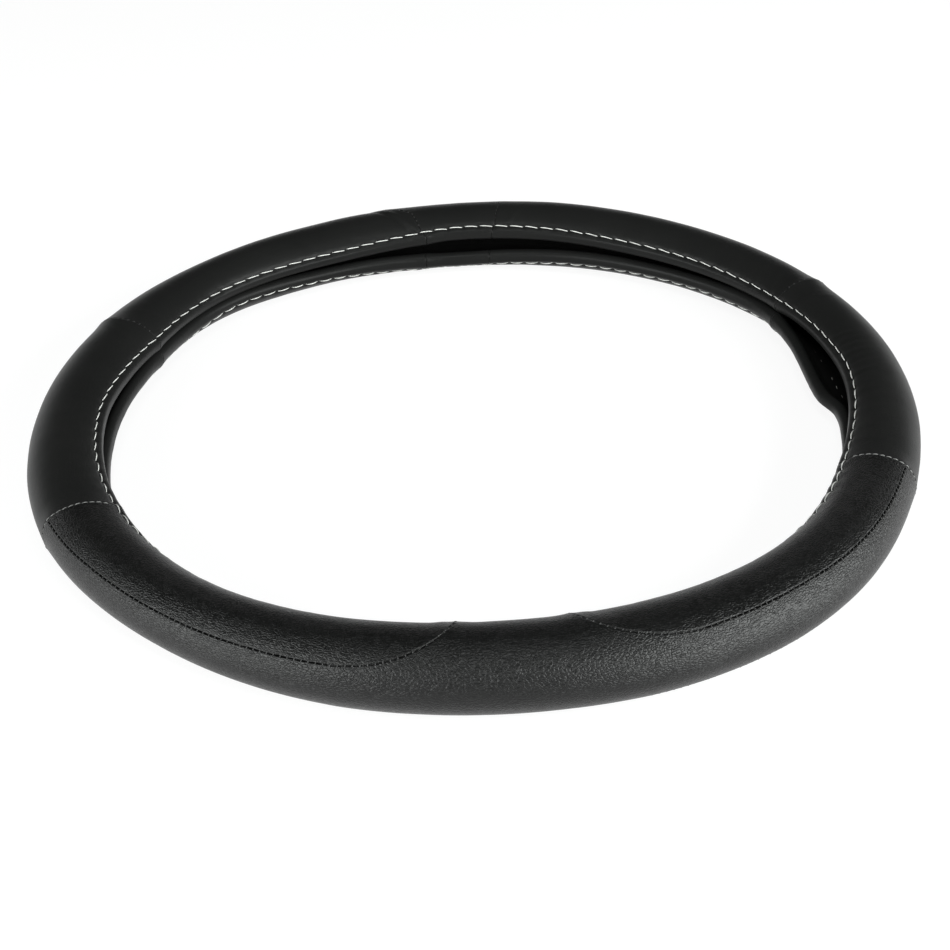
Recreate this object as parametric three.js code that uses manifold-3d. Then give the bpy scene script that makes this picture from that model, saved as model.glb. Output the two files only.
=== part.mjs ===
// Steering wheel cover: ten sewn leather panels stretched over an endless moulded rubber ring
// with a C-shaped section. It lies on its underside, as it does out of its bag.
// Millimetres, +Z up. The origin is the middle of the ring, at the plane it lies on,
// and -Y points at the middle of the grained front grip.
// Angles round the ring are degrees from +X towards +Y. Angles round the tube's section are
// degrees from the outermost line, positive over the top and negative under the bottom.

import * as THREE from "three";
import Module from "manifold-3d";

const wasm = await Module();
wasm.setup();

// Driving dimensions
const OUTER_DIAMETER = 380;
const SECTION_WIDTH = 33.6;
const SECTION_HEIGHT = 30;
const LEATHER = 1.6;
const RUBBER = 2;
const CLEARANCE = 0.5;
const HEM_LENGTH = 8;
const EDGE_STITCH_INSET = 6.7;
const EDGE_STITCH_PITCH = 7.7;
const EDGE_THREAD_WIDTH = 0.9;
const EDGE_THREAD_HEIGHT = 0.8;
const EDGE_THREAD_LIFT = 0.3;
const SEAM_THREAD_WIDTH = 0.7;
const SEAM_THREAD_HEIGHT = 0.7;
const SEAM_THREAD_SIDE_GAP = 0.4;
const SEAM_THREAD_END_GAP = 2;
const REST_BAND_ANGLE = 16;

// Where the cross seams are, in degrees to each side of the front or the rear
const FRONT_AXIS = 270;
const REAR_AXIS = 90;
const FRONT_SEAM = 65.2;
const SIDE_SEAM = 115.1;
const REAR_CENTRE_SEAM = 6;

// The lens panels: how high their long seam runs, where their tips end, and the tip's rounding
const LENS_SEAM_HEIGHT = 43.5;
const LENS_TIP = 7.2;
const LENS_TIP_OFFSET = 1.4;
const LENS_TIP_LENGTH = 43;
const LENS_TIP_RISE = 88;
// The skin sits turned a little round the tube: down on the left and up on the right.
const SKIN_TURN = 6.5;

// How the soft ring lies, as [angle round the ring, value] keys. The first three are the change
// in mm of the centre line's radius and of the section's half width and half height.
const PLAN_KEYS = [
  [0, 0], [22, 3], [45, 2], [68, -0.5], [90, -3], [112, -1], [135, 2], [158, -1],
  [180, -0.5], [203, 1], [225, 0], [248, -0.5], [270, -1], [292, 0.5], [315, 1.5], [338, -1.5],
];
const HALF_WIDTH_KEYS = [
  [0, -1], [22, -2.5], [45, -1], [80, 0.8], [112, 0], [135, -2], [160, 0.4],
  [200, 0], [228, -1.8], [255, -0.4], [290, 1], [320, -0.2],
];
const HALF_HEIGHT_KEYS = [
  [0, -0.7], [45, -0.3], [80, 0.8], [135, -0.7], [158, 0.4], [200, -0.4], [225, -1.1], [270, 0.8],
  [300, -0.3],
];
// The slit's two lip edges, as angles round the section counted over the top.
const UPPER_LIP_KEYS = [
  [0, 157], [12, 167], [27, 175], [44, 173], [60, 171], [76, 165], [90, 163], [101, 171],
  [112, 177], [143, 179], [154, 178], [166, 170], [180, 161], [200, 163], [270, 165], [335, 165],
];
const LOWER_LIP_KEYS = [
  [0, 196], [15, 187], [27, 182], [52, 190], [66, 190], [80, 197], [90, 203], [104, 194],
  [118, 191], [132, 185], [153, 185], [180, 186], [200, 192], [270, 195], [335, 197],
];
// How far the lower lip hangs in towards the middle of the ring, in mm.
const LIP_SAG_KEYS = [
  [0, 8], [10, 9], [20, 6], [32, 0], [60, 0], [180, 0], [300, 0], [335, 0], [350, 4],
];
const LIP_SAG_FROM = 250;
const LIP_SAG_FULL = 195;

// How finely the curves are cut into flat facets
const RING_FACETS = 36;
const UPPER_FACETS = 10;
const LOWER_FACETS = 4;
const BEND_FACETS = 3;
const WALL_FACETS = 6;
const WALL_HEM_FACETS = 2;
const TIP_FACETS = 6;
const SEAM_THREAD_FACETS = 12;

const CENTRE_RADIUS = (OUTER_DIAMETER - SECTION_WIDTH) / 2;
const SECTION_RADIUS = (SECTION_WIDTH + SECTION_HEIGHT) / 4;
// Depths are measured from the middle of the rubber wall, positive outwards.
const RUBBER_FACE = RUBBER / 2;
const LEATHER_UNDER = RUBBER_FACE + CLEARANCE;
const LEATHER_FACE = LEATHER_UNDER + LEATHER;
const WALL_RADIUS = SECTION_RADIUS - LEATHER_FACE;
const SEAM_GAP = SEAM_THREAD_WIDTH + 2 * SEAM_THREAD_SIDE_GAP;
const FULL_TURN = 360;
const HALF_TURN = 180;
const BOTTOM = -90;
const RAD = Math.PI / HALF_TURN;

const lerp = (from, to, share) => from + (to - from) * share;
const smooth = (share) => {
  const x = Math.min(1, Math.max(0, share));
  return x * x * (3 - 2 * x);
};
const ringAngle = (length) => length / CENTRE_RADIUS / RAD;
const sectionAngle = (length) => length / SECTION_RADIUS / RAD;
const HEM_ANGLE = HEM_LENGTH / WALL_RADIUS / RAD;
const LIP_ANGLE = LEATHER_FACE / WALL_RADIUS / RAD;
const evenly = (from, to, steps) => Array.from({ length: steps + 1 }, (_, k) => lerp(from, to, k / steps));

// A smooth endless curve through keys of [angle, value], as a function of the angle.
function throughKeys(keys) {
  const key = (k) => {
    const turns = Math.floor(k / keys.length);
    const [angle, value] = keys[k - turns * keys.length];
    return { angle: angle + FULL_TURN * turns, value };
  };
  const slope = (k) => {
    const [before, after] = [key(k - 1), key(k + 1)];
    return (after.value - before.value) / (after.angle - before.angle);
  };
  return (angle) => {
    const wanted = THREE.MathUtils.euclideanModulo(angle, FULL_TURN);
    const k = keys.findLastIndex(([start]) => start <= wanted);
    const [from, to] = [key(k), key(k + 1)];
    const span = to.angle - from.angle;
    const x = (wanted - from.angle) / span;
    const level = lerp(from.value, to.value, smooth(x));
    const lean = span * x * (1 - x) * (slope(k) * (1 - x) - slope(k + 1) * x);
    return level + lean;
  };
}

const planChange = throughKeys(PLAN_KEYS);
const halfWidthChange = throughKeys(HALF_WIDTH_KEYS);
const halfHeightChange = throughKeys(HALF_HEIGHT_KEYS);
const upperLip = throughKeys(UPPER_LIP_KEYS);
const lowerLip = throughKeys(LOWER_LIP_KEYS);
const lipSag = throughKeys(LIP_SAG_KEYS);

// The section of the tube at one angle round the ring. The rubber wall runs from angle top,
// just inside the upper lip, over the outside to angle end, just inside the lower lip.
function sectionAt(angle) {
  const section = {
    angle,
    centre: CENTRE_RADIUS + planChange(angle),
    halfWidth: SECTION_WIDTH / 2 - LEATHER_FACE + halfWidthChange(angle),
    halfHeight: SECTION_HEIGHT / 2 - LEATHER_FACE + halfHeightChange(angle),
    top: upperLip(angle) - LIP_ANGLE,
    end: lowerLip(angle) - FULL_TURN + LIP_ANGLE,
    sag: Math.max(0, lipSag(angle)),
    lift: 0,
  };
  section.lift = -inSection(section, BOTTOM + REST_BAND_ANGLE / 2, 0, LEATHER_FACE).z;
  return section;
}

// A point of the section: at an angle along the rubber wall, then out by a depth. A bend turns
// that direction towards the top lip, so a half turn of bend points into the channel.
function inSection(section, angle, bend, depth) {
  const [cos, sin] = [Math.cos(angle * RAD), Math.sin(angle * RAD)];
  const out = new THREE.Vector2(section.halfHeight * cos, section.halfWidth * sin).normalize();
  const along = new THREE.Vector2(-out.y, out.x);
  const way = out.multiplyScalar(Math.cos(bend * RAD)).addScaledVector(along, Math.sin(bend * RAD));
  const hang = smooth((LIP_SAG_FROM - FULL_TURN - angle) / (LIP_SAG_FROM - LIP_SAG_FULL));
  return {
    radius: section.centre + section.halfWidth * cos - section.sag * hang + depth * way.x,
    z: section.lift + section.halfHeight * sin + depth * way.y,
  };
}

const inSpace = (angle, { radius, z }) =>
  new THREE.Vector3(radius * Math.cos(angle * RAD), radius * Math.sin(angle * RAD), z);

// The whole ring is a polygon of straight lengths between these sections, and every layer
// follows the same lengths, so that the layers nest.
const FACET_ANGLE = FULL_TURN / RING_FACETS;
const sections = evenly(0, FULL_TURN, RING_FACETS).map(sectionAt);

// A point of a straight length, from a function that places it in one section.
function onRing(angle, placed) {
  const turned = THREE.MathUtils.euclideanModulo(angle, FULL_TURN);
  const k = Math.min(RING_FACETS - 1, Math.floor(turned / FACET_ANGLE));
  const [from, to] = [sections[k], sections[k + 1]];
  const start = inSpace(from.angle, placed(from));
  const finish = inSpace(to.angle, placed(to));
  const [a, b] = [from.angle * RAD, to.angle * RAD];
  const across = turned * RAD;
  const share = (Math.tan(across - (a + b) / 2) / Math.tan((b - a) / 2) + 1) / 2;
  return start.lerp(finish, share);
}

// The polygon's corners between two angles, clear of both.
function cornersBetween(from, to) {
  const clear = ringAngle(SEAM_GAP);
  const [low, high] = [Math.min(from, to) + clear, Math.max(from, to) - clear];
  const corners = evenly(0, 2 * FULL_TURN, 2 * RING_FACETS).filter((angle) => angle > low && angle < high);
  return from < to ? corners : corners.reverse();
}

// A closed solid between an upper and an under face that share one grid of points.
// The grid runs round the ring in columns, and over the section in rows.
function shell({ columns, rows, endless = false, point }) {
  const positions = [];
  for (let i = 0; i < columns; i++) {
    for (let j = 0; j < rows; j++) {
      positions.push(...point(i, j, "under"), ...point(i, j, "face"));
    }
  }
  const under = (i, j) => 2 * ((i % columns) * rows + j);
  const face = (i, j) => under(i, j) + 1;
  const index = [];
  const quad = (a, b, c, d) => index.push(a, b, c, a, c, d);
  const lastColumn = endless ? columns : columns - 1;
  const lastRow = rows - 1;
  for (let i = 0; i < lastColumn; i++) {
    for (let j = 0; j < lastRow; j++) {
      quad(face(i, j), face(i, j + 1), face(i + 1, j + 1), face(i + 1, j));
      quad(under(i, j), under(i + 1, j), under(i + 1, j + 1), under(i, j + 1));
    }
    quad(face(i, 0), face(i + 1, 0), under(i + 1, 0), under(i, 0));
    quad(face(i + 1, lastRow), face(i, lastRow), under(i, lastRow), under(i + 1, lastRow));
  }
  for (let j = 0; j < lastRow && !endless; j++) {
    quad(face(0, j + 1), face(0, j), under(0, j), under(0, j + 1));
    quad(face(lastColumn, j), face(lastColumn, j + 1), under(lastColumn, j + 1), under(lastColumn, j));
  }
  return geometry(positions, index);
}

function geometry(positions, index) {
  const made = new THREE.BufferGeometry();
  made.setAttribute("position", new THREE.Float32BufferAttribute(positions, 3));
  made.setIndex(index);
  return made;
}

// A thread with a three-sided section, laid along a path of points with their outward directions.
function threadSolid({ path, endless = false }) {
  const positions = [];
  path.forEach(({ point, out, width, height }, k) => {
    const before = path[endless ? (k + path.length - 1) % path.length : Math.max(0, k - 1)].point;
    const after = path[endless ? (k + 1) % path.length : Math.min(path.length - 1, k + 1)].point;
    const side = after.clone().sub(before).cross(out).normalize().multiplyScalar(width / 2);
    positions.push(...point.clone().add(side), ...point.clone().addScaledVector(out, height));
    positions.push(...point.clone().sub(side));
  });
  const corners = 3;
  const at = (k, corner) => (k % path.length) * corners + (corner % corners);
  const index = [];
  const lengths = endless ? path.length : path.length - 1;
  for (let k = 0; k < lengths; k++) {
    for (let corner = 0; corner < corners; corner++) {
      index.push(at(k, corner), at(k + 1, corner), at(k + 1, corner + 1));
      index.push(at(k, corner), at(k + 1, corner + 1), at(k, corner + 1));
    }
  }
  if (!endless) {
    const last = path.length - 1;
    index.push(at(0, 0), at(0, 1), at(0, 2), at(last, 2), at(last, 1), at(last, 0));
  }
  return geometry(positions, index);
}

// A spot on the leather for a thread to pass, sunk or lifted by a depth.
function threadSpot(angle, sectionSpot, lift, width, height) {
  const place = (depth) => onRing(angle, (section) => inSection(section, sectionSpot, 0, depth));
  const point = place(LEATHER_FACE + lift);
  const out = place(LEATHER_FACE + lift + 1).sub(point).normalize();
  return { point, out, width, height };
}

// The rubber wall's section, from its upper end over the outside to its lower end.
function rubberRows(section) {
  const hemEnd = section.top - HEM_ANGLE;
  const underside = BOTTOM - REST_BAND_ANGLE / 2;
  return [
    ...evenly(section.top, hemEnd, WALL_HEM_FACETS),
    ...evenly(hemEnd, underside, WALL_FACETS).slice(1),
    ...evenly(underside, section.end, LOWER_FACETS).slice(1),
  ];
}

function innerRing() {
  return shell({
    columns: RING_FACETS,
    rows: rubberRows(sections[0]).length,
    endless: true,
    point: (i, j, side) => {
      const section = sections[i];
      const depth = side === "face" ? RUBBER_FACE : -RUBBER_FACE;
      return inSpace(section.angle, inSection(section, rubberRows(section)[j], 0, depth));
    },
  });
}

// The leather's section: hem inside the channel, bend round the upper lip, outside, bend, hem.
function leatherRows(section) {
  const restHalf = REST_BAND_ANGLE / 2;
  const outside = [
    ...evenly(section.top, BOTTOM + restHalf, UPPER_FACETS),
    ...evenly(BOTTOM - restHalf, section.end, LOWER_FACETS),
  ];
  const bends = evenly(HALF_TURN, 0, BEND_FACETS).slice(0, -1);
  return [
    { angle: section.top - HEM_ANGLE, bend: HALF_TURN },
    ...bends.map((bend) => ({ angle: section.top, bend })),
    ...outside.map((angle) => ({ angle, bend: 0 })),
    ...bends.reverse().map((bend) => ({ angle: section.end, bend: -bend })),
    { angle: section.end + HEM_ANGLE, bend: HALF_TURN },
  ];
}

const LEATHER_ROWS = leatherRows(sections[0]).length;

// A leather panel that wraps the rubber from hem to hem, between two angles round the ring.
function wrapPanel(from, to) {
  const start = from + ringAngle(SEAM_GAP / 2);
  const finish = to - ringAngle(SEAM_GAP / 2);
  const columns = [start, ...cornersBetween(start, finish), finish];
  return shell({
    columns: columns.length,
    rows: LEATHER_ROWS,
    point: (i, j, side) =>
      onRing(columns[i], (section) => {
        const row = leatherRows(section)[j];
        return inSection(section, row.angle, row.bend, side === "face" ? LEATHER_FACE : LEATHER_UNDER);
      }),
  });
}

// The long seam of one lens panel, as spots from its cross seam to its tip and up to the lip.
// Hand is 1 on the right and -1 on the left, level is 1 on top and -1 underneath.
function lensSeam(hand, level, grow, start = FRONT_AXIS + hand * FRONT_SEAM) {
  const across = level * LENS_SEAM_HEIGHT + hand * SKIN_TURN - level * sectionAngle(grow);
  const tip = FRONT_AXIS + LENS_TIP_OFFSET + hand * (LENS_TIP - ringAngle(grow));
  const bendStart = tip + hand * ringAngle(LENS_TIP_LENGTH);
  const straight = [start, ...cornersBetween(start, bendStart), bendStart];
  const tipArc = evenly(0, 90, TIP_FACETS).slice(1).map((turn) => ({
    angle: lerp(bendStart, tip, Math.sin(turn * RAD)),
    across: across + level * LENS_TIP_RISE * (1 - Math.cos(turn * RAD)),
  }));
  return { straight: straight.map((angle) => ({ angle, across })), tipArc, tip };
}

// The space that one lens panel is cut from: it holds every layer beyond the panel's long seam,
// and runs a section's width past the cross seam.
function lensBlock(hand, level, grow) {
  const past = FRONT_AXIS + hand * (FRONT_SEAM + ringAngle(SECTION_WIDTH));
  const { straight, tipArc, tip } = lensSeam(hand, level, grow, past);
  const bendStart = straight.at(-1);
  const ends = [bendStart, ...tipArc, { angle: tip, across: level * HALF_TURN }];
  const place = (i, j, side) => {
    const share = (straight[i].angle - past) / (bendStart.angle - past);
    const reach = side === "face" ? 2 * LEATHER_FACE : -2 * LEATHER_FACE;
    return onRing(lerp(past, ends[j].angle, share), (section) =>
      inSection(section, ends[j].across, 0, reach));
  };
  const forwards = hand * level < 0;
  return solid(
    shell({
      columns: straight.length,
      rows: ends.length,
      point: (i, j, side) => place(i, forwards ? ends.length - 1 - j : j, side),
    }),
  );
}

function solid(shape) {
  return new wasm.Manifold(
    new wasm.Mesh({
      numProp: 3,
      vertProperties: Float32Array.from(shape.getAttribute("position").array),
      triVerts: Uint32Array.from(shape.index.array),
    }),
  );
}

function solidGeometry(made) {
  const mesh = made.getMesh();
  return geometry(Array.from(mesh.vertProperties), Array.from(mesh.triVerts));
}

// The front wrap is cut along the four long seams into the grip and four lens panels.
function frontPanels() {
  const wrap = solid(wrapPanel(FRONT_AXIS - FRONT_SEAM, FRONT_AXIS + FRONT_SEAM));
  let grip = wrap;
  const lenses = LENSES.map(({ name, hand, level }) => {
    grip = grip.subtract(lensBlock(hand, level, SEAM_GAP / 2));
    return { name, shape: solidGeometry(wrap.intersect(lensBlock(hand, level, -SEAM_GAP / 2))) };
  });
  return [{ name: "front_grip_panel", shape: solidGeometry(grip) }, ...lenses];
}

// An edge stitch line round the whole ring. The thread swells to a bead on each stitch and
// thins where it dips into its needle hole.
function edgeThread(stitchAngle) {
  const stitchRadius = CENTRE_RADIUS - SECTION_WIDTH / 2 + EDGE_STITCH_INSET / 2;
  const stitches = Math.round((FULL_TURN * RAD * stitchRadius) / EDGE_STITCH_PITCH);
  const holeShare = 0.35;
  const path = evenly(0, FULL_TURN, 2 * stitches).slice(0, -1).map((angle, k) => {
    const swell = k % 2 ? 1 : holeShare;
    const width = EDGE_THREAD_WIDTH * swell;
    return threadSpot(angle, stitchAngle(angle), EDGE_THREAD_LIFT, width, EDGE_THREAD_HEIGHT * swell);
  });
  return threadSolid({ path, endless: true });
}

const upperStitch = (angle) => upperLip(angle) - sectionAngle(EDGE_STITCH_INSET);
const lowerStitch = (angle) => lowerLip(angle) - FULL_TURN + sectionAngle(EDGE_STITCH_INSET);
const sunkSpot = (angle, across) =>
  threadSpot(angle, across, -SEAM_THREAD_HEIGHT - SEAM_THREAD_SIDE_GAP, SEAM_THREAD_WIDTH, SEAM_THREAD_HEIGHT);

// The thread of a cross seam lies sunk between two panels, from one edge stitching to the other.
function crossSeamThread(angle) {
  const short = sectionAngle(SEAM_THREAD_END_GAP);
  const across = evenly(upperStitch(angle) - short, lowerStitch(angle) + short, SEAM_THREAD_FACETS);
  return threadSolid({ path: across.map((spot) => sunkSpot(angle, spot)) });
}

// The thread of a lens seam starts clear of the cross seam's thread and ends by the edge stitching.
function lensSeamThread(hand, level) {
  const { straight, tipArc, tip } = lensSeam(hand, level, 0);
  const stitch = level > 0 ? upperStitch(tip) : lowerStitch(tip);
  const last = { angle: tip, across: stitch - level * sectionAngle(SEAM_THREAD_END_GAP) };
  const start = { ...straight[0], angle: straight[0].angle - hand * ringAngle(SEAM_THREAD_END_GAP) };
  const clear = sectionAngle(SEAM_THREAD_END_GAP);
  const before = tipArc.filter(({ across }) => level * (last.across - across) > clear);
  const spots = [start, ...straight.slice(1), ...before, last];
  return threadSolid({ path: spots.map(({ angle, across }) => sunkSpot(angle, across)) });
}

const CROSS_SEAMS = [
  { name: "rear_centre_right_seam_thread", angle: REAR_AXIS - REAR_CENTRE_SEAM },
  { name: "rear_centre_left_seam_thread", angle: REAR_AXIS + REAR_CENTRE_SEAM },
  { name: "rear_left_seam_thread", angle: FRONT_AXIS - SIDE_SEAM },
  { name: "front_left_seam_thread", angle: FRONT_AXIS - FRONT_SEAM },
  { name: "front_right_seam_thread", angle: FRONT_AXIS + FRONT_SEAM },
  { name: "rear_right_seam_thread", angle: FRONT_AXIS + SIDE_SEAM },
];

const LENSES = [
  { name: "front_left_upper_panel", seam: "left_upper_lens_seam_thread", hand: -1, level: 1 },
  { name: "front_left_lower_panel", seam: "left_lower_lens_seam_thread", hand: -1, level: -1 },
  { name: "front_right_upper_panel", seam: "right_upper_lens_seam_thread", hand: 1, level: 1 },
  { name: "front_right_lower_panel", seam: "right_lower_lens_seam_thread", hand: 1, level: -1 },
];

const SMOOTH_PANELS = [
  { name: "rear_centre_panel", from: REAR_AXIS - REAR_CENTRE_SEAM, to: REAR_AXIS + REAR_CENTRE_SEAM },
  { name: "rear_left_panel", from: REAR_AXIS + REAR_CENTRE_SEAM, to: FRONT_AXIS - SIDE_SEAM },
  { name: "left_side_panel", from: FRONT_AXIS - SIDE_SEAM, to: FRONT_AXIS - FRONT_SEAM },
  { name: "right_side_panel", from: FRONT_AXIS + FRONT_SEAM, to: FRONT_AXIS + SIDE_SEAM },
  { name: "rear_right_panel", from: FRONT_AXIS + SIDE_SEAM - FULL_TURN, to: REAR_AXIS - REAR_CENTRE_SEAM },
];

const plain = (color, roughness) => new THREE.MeshStandardMaterial({ color, roughness, metalness: 0 });
const MATERIALS = {
  rubber: plain(0x0d0d0e, 0.8),
  smoothLeather: plain(0x1e1e1e, 0.5),
  grainedLeather: plain(0x1a1b1b, 0.45),
  whiteThread: plain(0xe4e4e0, 0.6),
  darkThread: plain(0x101010, 0.6),
};

const group = new THREE.Group();

function addPiece(name, shape, material) {
  const mesh = new THREE.Mesh(shape, material);
  mesh.name = name;
  group.add(mesh);
}

addPiece("inner_ring", innerRing(), MATERIALS.rubber);
for (const { name, from, to } of SMOOTH_PANELS) addPiece(name, wrapPanel(from, to), MATERIALS.smoothLeather);
for (const { name, shape } of frontPanels()) addPiece(name, shape, MATERIALS.grainedLeather);
addPiece("upper_edge_thread", edgeThread(upperStitch), MATERIALS.whiteThread);
addPiece("lower_edge_thread", edgeThread(lowerStitch), MATERIALS.whiteThread);
for (const { name, angle } of CROSS_SEAMS) addPiece(name, crossSeamThread(angle), MATERIALS.darkThread);
for (const { seam, hand, level } of LENSES) addPiece(seam, lensSeamThread(hand, level), MATERIALS.darkThread);

export default group;
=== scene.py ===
# Steering wheel cover: sewn leather panels over an endless rubber liner, lying on its underside.
# Angles round the ring are degrees from +X towards +Y. Spots are degrees round the tube's section
# from its outermost line, positive over the top. Lengths are millimetres until a mesh is made.

import math

import bpy
import numpy as np
from mathutils import Matrix, Vector


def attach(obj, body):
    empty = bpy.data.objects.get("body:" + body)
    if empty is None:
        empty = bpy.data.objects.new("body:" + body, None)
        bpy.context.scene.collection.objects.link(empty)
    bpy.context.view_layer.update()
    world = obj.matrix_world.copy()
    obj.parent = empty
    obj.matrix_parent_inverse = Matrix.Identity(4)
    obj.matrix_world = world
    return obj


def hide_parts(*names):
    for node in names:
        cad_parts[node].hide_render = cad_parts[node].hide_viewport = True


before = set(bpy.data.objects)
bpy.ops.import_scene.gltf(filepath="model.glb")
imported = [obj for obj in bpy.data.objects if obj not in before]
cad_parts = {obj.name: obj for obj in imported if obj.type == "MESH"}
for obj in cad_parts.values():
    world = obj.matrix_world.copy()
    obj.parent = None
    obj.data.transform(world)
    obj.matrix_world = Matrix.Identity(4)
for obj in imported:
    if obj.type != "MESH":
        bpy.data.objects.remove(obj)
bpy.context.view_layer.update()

MM = 0.001

# Driving dimensions, the same as the part's
OUTER_DIAMETER = 380
SECTION_WIDTH = 33.6
SECTION_HEIGHT = 30
LEATHER = 1.6
RUBBER = 2
CLEARANCE = 0.5
HEM_LENGTH = 8
EDGE_STITCH_INSET = 6.7
EDGE_STITCH_PITCH = 7.7
REST_BAND_ANGLE = 16
LENS_TIP = 7.2
LENS_TIP_OFFSET = 1.4
LENS_TIP_LENGTH = 43
LENS_TIP_RISE = 88
FRONT_AXIS = 270
FULL_TURN = 360
HALF_TURN = 180
TOP = 90
BOTTOM = -90

# How the soft ring lies, as (ring angle, value) keys: the change in mm of the centre line's radius
# and of the section's half width and half height
PLAN_KEYS = [
    (0, 0), (22, 3), (45, 2), (68, -0.5), (90, -3), (112, -1), (135, 2), (158, -1),
    (180, -0.5), (203, 1), (225, 0), (248, -0.5), (270, -1), (292, 0.5), (315, 1.5), (338, -1.5),
]
HALF_WIDTH_KEYS = [
    (0, -1), (22, -2.5), (45, -1), (80, 0.8), (112, 0), (135, -2), (160, 0.4),
    (200, 0), (228, -1.8), (255, -0.4), (290, 1), (320, -0.2),
]
HALF_HEIGHT_KEYS = [
    (0, -0.7), (45, -0.3), (80, 0.8), (135, -0.7), (158, 0.4), (200, -0.4), (225, -1.1), (270, 0.8),
    (300, -0.3),
]
# The slit's two lips, as (ring angle, spot counted over the top)
UPPER_LIP_KEYS = [
    (0, 157), (12, 167), (27, 175), (44, 173), (60, 171), (76, 165), (90, 163), (101, 171),
    (112, 177), (143, 179), (154, 178), (166, 170), (180, 161), (200, 163), (270, 165), (335, 165),
]
LOWER_LIP_KEYS = [
    (0, 196), (15, 187), (27, 182), (52, 190), (66, 190), (80, 197), (90, 203), (104, 194),
    (118, 191), (132, 185), (153, 185), (180, 186), (200, 192), (270, 195), (335, 197),
]
# How far the lower lip hangs in towards the middle of the ring, in mm. It starts to hang at one spot
# and hangs fully from another, both counted over the top.
LIP_SAG_KEYS = [
    (2, 10), (10, 10), (20, 6), (32, 0), (60, 0), (180, 0), (300, 0), (335, 0), (350, 2), (357, 3.5),
]
LIP_SAG_FROM = 250
LIP_SAG_FULL = 195
# How far each edge stitch line runs from its lip, in mm. The upper one runs nearer to it in the front.
FRONT_STITCH_INSET = 3.1
UPPER_INSET_KEYS = [
    (180, EDGE_STITCH_INSET), (205, EDGE_STITCH_INSET), (223, FRONT_STITCH_INSET),
    (234, FRONT_STITCH_INSET), (301, FRONT_STITCH_INSET), (313, FRONT_STITCH_INSET),
    (326, EDGE_STITCH_INSET), (345, EDGE_STITCH_INSET),
]
LOWER_INSET_KEYS = [
    (20, 9.6), (30, 9.4), (38, 7.6), (46, 6.7), (80, 6.7), (88, 7.9), (103, 8.2), (109, 6.5),
    (117, 4.6), (134, 4.8), (141, 8), (148, 10), (190, 7), (350, 7),
]
# How high the upper edge stitches stand, as a share of their plain rise
UPPER_THREAD_RISE_KEYS = [
    (180, 1), (200, 1), (216, 1), (223, 0.3), (240, 0.3), (300, 0.3), (312, 0.3), (318, 1), (340, 1),
]

# Where each cross seam runs, as (spot, ring angle) from the top slit edge down to the lower one
REAR_RIGHT_OF_CENTRE = [(-170, 84.5), (-120, 83.5), (0, 82.4), (81, 82.5), (132, 82.9), (165, 83.9)]
REAR_LEFT_OF_CENTRE = [
    (-155, 95.5), (-90, 99), (0, 102), (62, 101.5), (84, 99.2), (101, 97.5), (133, 96.7), (165, 95.2),
]
REAR_LEFT_SEAM = [(-170, 154.6), (0, 155.2), (89, 155.9), (165, 155.1)]
REAR_RIGHT_SEAM = [(-170, 26), (0, 25), (77, 25.2), (165, 26.3)]
FRONT_LEFT_SEAM = [(-170, 205), (-60, 204), (2, 203.7), (36, 203.9), (80, 205), (123, 205.9), (165, 206)]
FRONT_RIGHT_SEAM = [(-170, 335), (-60, 336), (8, 335.7), (60, 335.4), (134, 334.7), (165, 334.6)]

# How high the lens panels' long seams run, as (ring angle, spot)
UPPER_LENS_LEVEL = [
    (200, 36), (209, 35.5), (216, 38), (226, 38), (238, 37), (250, 36.5), (264, 38),
    (279, 49), (292, 51), (305, 53), (314, 51), (326, 48), (340, 46),
]
LOWER_LENS_LEVEL = [(200, -49), (226, -50), (264, -50), (279, -37), (305, -36), (340, -38)]

CENTRE_RADIUS = (OUTER_DIAMETER - SECTION_WIDTH) / 2
SECTION_RADIUS = (SECTION_WIDTH + SECTION_HEIGHT) / 4
RUBBER_FACE = RUBBER / 2
LEATHER_UNDER = RUBBER_FACE + CLEARANCE
LEATHER_FACE = LEATHER_UNDER + LEATHER
WALL_RADIUS = SECTION_RADIUS - LEATHER_FACE
SLIT_RADIUS = CENTRE_RADIUS - SECTION_WIDTH / 2


def ring_angle(length):
    return np.degrees(np.asarray(length, float) / CENTRE_RADIUS)


def section_angle(length):
    return np.degrees(np.asarray(length, float) / SECTION_RADIUS)


HEM_ANGLE = math.degrees(HEM_LENGTH / WALL_RADIUS)
LIP_ANGLE = math.degrees(LEATHER_FACE / WALL_RADIUS)


def smooth(share):
    x = np.clip(share, 0, 1)
    return x * x * (3 - 2 * x)


def lerp(start, end, share):
    return start + (end - start) * share


def through_keys(keys):
    """A smooth endless curve through (angle, value) keys, as a function of the angle."""
    angle = np.array([key[0] for key in keys], float)
    angle = np.concatenate([angle - FULL_TURN, angle, angle + FULL_TURN])
    value = np.tile([float(key[1]) for key in keys], 3)
    slope = np.zeros(len(angle))
    slope[1:-1] = (value[2:] - value[:-2]) / (angle[2:] - angle[:-2])

    def curve(wanted):
        turned = np.mod(wanted, FULL_TURN)
        k = np.searchsorted(angle, turned, side="right") - 1
        span = angle[k + 1] - angle[k]
        x = (turned - angle[k]) / span
        level = lerp(value[k], value[k + 1], smooth(x))
        return level + span * x * (1 - x) * (slope[k] * (1 - x) - slope[k + 1] * x)

    return curve


plan_change = through_keys(PLAN_KEYS)
half_width_change = through_keys(HALF_WIDTH_KEYS)
half_height_change = through_keys(HALF_HEIGHT_KEYS)
upper_lip = through_keys(UPPER_LIP_KEYS)
lower_lip = through_keys(LOWER_LIP_KEYS)
lip_sag = through_keys(LIP_SAG_KEYS)
upper_inset = through_keys(UPPER_INSET_KEYS)
lower_inset = through_keys(LOWER_INSET_KEYS)
upper_thread_rise = through_keys(UPPER_THREAD_RISE_KEYS)


def top_spot(angle):
    """Where the wall ends under the upper lip."""
    return upper_lip(angle) - LIP_ANGLE


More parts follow.
